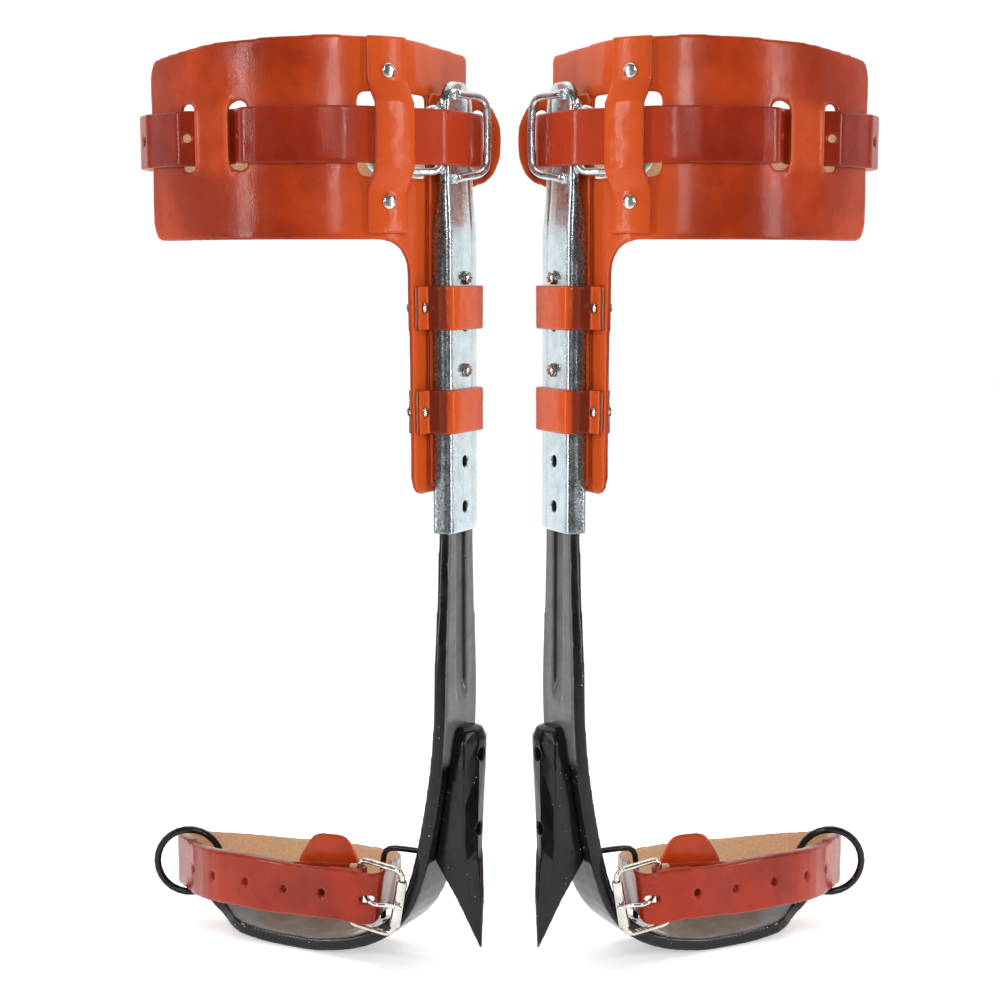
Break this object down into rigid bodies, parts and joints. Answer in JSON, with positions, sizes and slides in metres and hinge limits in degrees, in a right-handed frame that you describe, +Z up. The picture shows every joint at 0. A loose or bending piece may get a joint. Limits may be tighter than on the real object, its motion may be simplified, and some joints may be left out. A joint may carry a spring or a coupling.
{
  "type": "tree climbing spurs",
  "caption": "Pair of arborist tree climbing spurs: steel leg irons with gaffs, sliding sleeves, leather calf cuffs and buckled ankle straps.",
  "frame": {"origin": "on the floor, midway between the two spurs, at the centre of the pair's footprint", "axes": "+X to the left spur's gaff side and towards the right spur, -Y to the wearer's front, +Z up"},
  "size_m": [0.414, 0.1691, 0.4915],
  "materials": {
    "black_paint": "gloss black paint on forged steel",
    "zinc": "bright zinc-plated pressed steel",
    "nickel": "polished nickel-plated wire and rivets",
    "steel_screw": "dark oiled steel",
    "cuff_leather": "glossy orange-brown grain leather, tan flesh side",
    "strap_leather": "glossy red-brown grain leather, tan flesh side"
  },
  "bodies": {
    "left_iron": {"left_leg_iron": "black_paint", "left_ankle_ring": "black_paint", "left_gaff": "black_paint", "left_gaff_screw_upper": "steel_screw", "left_gaff_screw_lower": "steel_screw", "left_ankle_strap": "strap_leather", "left_ankle_strap_tab": "cuff_leather", "left_ankle_staple": "black_paint"},
    "left_sleeve": {"left_sleeve": "zinc", "left_sleeve_screw_upper": "nickel", "left_sleeve_screw_lower": "nickel", "left_strap_loop": "zinc", "left_pad_bracket": "zinc", "left_cuff": "cuff_leather", "left_cuff_backing": "cuff_leather", "left_keeper": "cuff_leather", "left_keeper_rivet_upper": "nickel", "left_keeper_rivet_lower": "nickel", "left_tail_loop_upper": "cuff_leather", "left_tail_loop_lower": "cuff_leather", "left_tail_rivet_upper": "nickel", "left_tail_rivet_lower": "nickel", "left_calf_strap": "strap_leather"},
    "left_calf_buckle_frame": {"left_calf_buckle_frame": "nickel"},
    "left_calf_buckle_roller": {"left_calf_buckle_roller": "nickel"},
    "left_calf_buckle_prong": {"left_calf_buckle_prong": "nickel"},
    "left_ankle_buckle_frame": {"left_ankle_buckle_frame": "nickel"},
    "left_ankle_buckle_roller": {"left_ankle_buckle_roller": "nickel"},
    "left_ankle_buckle_prong": {"left_ankle_buckle_prong": "nickel"},
    "right_iron": {"right_leg_iron": "black_paint", "right_ankle_ring": "black_paint", "right_gaff": "black_paint", "right_gaff_screw_upper": "steel_screw", "right_gaff_screw_lower": "steel_screw", "right_ankle_strap": "strap_leather", "right_ankle_strap_tab": "cuff_leather", "right_ankle_staple": "black_paint"},
    "right_sleeve": {"right_sleeve": "zinc", "right_sleeve_screw_upper": "nickel", "right_sleeve_screw_lower": "nickel", "right_strap_loop": "zinc", "right_pad_bracket": "zinc", "right_cuff": "cuff_leather", "right_cuff_backing": "cuff_leather", "right_keeper": "cuff_leather", "right_keeper_rivet_upper": "nickel", "right_keeper_rivet_lower": "nickel", "right_tail_loop_upper": "cuff_leather", "right_tail_loop_lower": "cuff_leather", "right_tail_rivet_upper": "nickel", "right_tail_rivet_lower": "nickel", "right_calf_strap": "strap_leather"},
    "right_calf_buckle_frame": {"right_calf_buckle_frame": "nickel"},
    "right_calf_buckle_roller": {"right_calf_buckle_roller": "nickel"},
    "right_calf_buckle_prong": {"right_calf_buckle_prong": "nickel"},
    "right_ankle_buckle_frame": {"right_ankle_buckle_frame": "nickel"},
    "right_ankle_buckle_roller": {"right_ankle_buckle_roller": "nickel"},
    "right_ankle_buckle_prong": {"right_ankle_buckle_prong": "nickel"}
  },
  "joints": [
    {"name": "left_sleeve_slide", "type": "slide", "parent": "left_iron", "child": "left_sleeve", "axis": [0, 0, 1], "range_m": [0, 0.072]},
    {"name": "left_calf_buckle_frame_hinge", "type": "hinge", "parent": "left_sleeve", "child": "left_calf_buckle_frame", "pos_m": [-0.06868, 0.06848, 0.4425], "axis": [0, 0, -1], "range_deg": [0, 8]},
    {"name": "left_calf_buckle_roller_spin", "type": "hinge", "parent": "left_calf_buckle_frame", "child": "left_calf_buckle_roller", "pos_m": [-0.09098, 0.07911, 0.4425], "axis": [0, 0, 1], "continuous": true},
    {"name": "left_calf_buckle_prong_hinge", "type": "hinge", "parent": "left_calf_buckle_frame", "child": "left_calf_buckle_prong", "pos_m": [-0.06868, 0.06848, 0.4425], "axis": [0, 0, -1], "range_deg": [0, 10]},
    {"name": "left_ankle_buckle_frame_hinge", "type": "hinge", "parent": "left_iron", "child": "left_ankle_buckle_frame", "pos_m": [-0.08299, -0.04723, 0.0433], "axis": [-0.1683, 0.1641, -0.972], "range_deg": [0, 8]},
    {"name": "left_ankle_buckle_roller_spin", "type": "hinge", "parent": "left_ankle_buckle_frame", "child": "left_ankle_buckle_roller", "pos_m": [-0.05959, -0.0533, 0.03822], "axis": [0.1683, -0.1641, 0.972], "continuous": true},
    {"name": "left_ankle_buckle_prong_hinge", "type": "hinge", "parent": "left_ankle_buckle_frame", "child": "left_ankle_buckle_prong", "pos_m": [-0.08299, -0.04723, 0.0433], "axis": [-0.1683, 0.1641, -0.972], "range_deg": [0, 10]},
    {"name": "right_sleeve_slide", "type": "slide", "parent": "right_iron", "child": "right_sleeve", "axis": [0, 0, 1], "range_m": [0, 0.072]},
    {"name": "right_calf_buckle_frame_hinge", "type": "hinge", "parent": "right_sleeve", "child": "right_calf_buckle_frame", "pos_m": [0.06868, 0.06848, 0.4425], "axis": [0, 0, 1], "range_deg": [0, 8]},
    {"name": "right_calf_buckle_roller_spin", "type": "hinge", "parent": "right_calf_buckle_frame", "child": "right_calf_buckle_roller", "pos_m": [0.09098, 0.07911, 0.4425], "axis": [0, 0, -1], "continuous": true},
    {"name": "right_calf_buckle_prong_hinge", "type": "hinge", "parent": "right_calf_buckle_frame", "child": "right_calf_buckle_prong", "pos_m": [0.06868, 0.06848, 0.4425], "axis": [0, 0, 1], "range_deg": [0, 10]},
    {"name": "right_ankle_buckle_frame_hinge", "type": "hinge", "parent": "right_iron", "child": "right_ankle_buckle_frame", "pos_m": [0.08299, -0.04723, 0.0433], "axis": [-0.1683, -0.1641, 0.972], "range_deg": [0, 8]},
    {"name": "right_ankle_buckle_roller_spin", "type": "hinge", "parent": "right_ankle_buckle_frame", "child": "right_ankle_buckle_roller", "pos_m": [0.05959, -0.0533, 0.03822], "axis": [0.1683, 0.1641, -0.972], "continuous": true},
    {"name": "right_ankle_buckle_prong_hinge", "type": "hinge", "parent": "right_ankle_buckle_frame", "child": "right_ankle_buckle_prong", "pos_m": [0.08299, -0.04723, 0.0433], "axis": [-0.1683, -0.1641, 0.972], "range_deg": [0, 10]},
    {"name": "spurs_apart", "type": "slide", "parent": "left_iron", "child": "right_iron", "axis": [1, 0, 0], "range_m": [0, 0.3]}
  ]
}
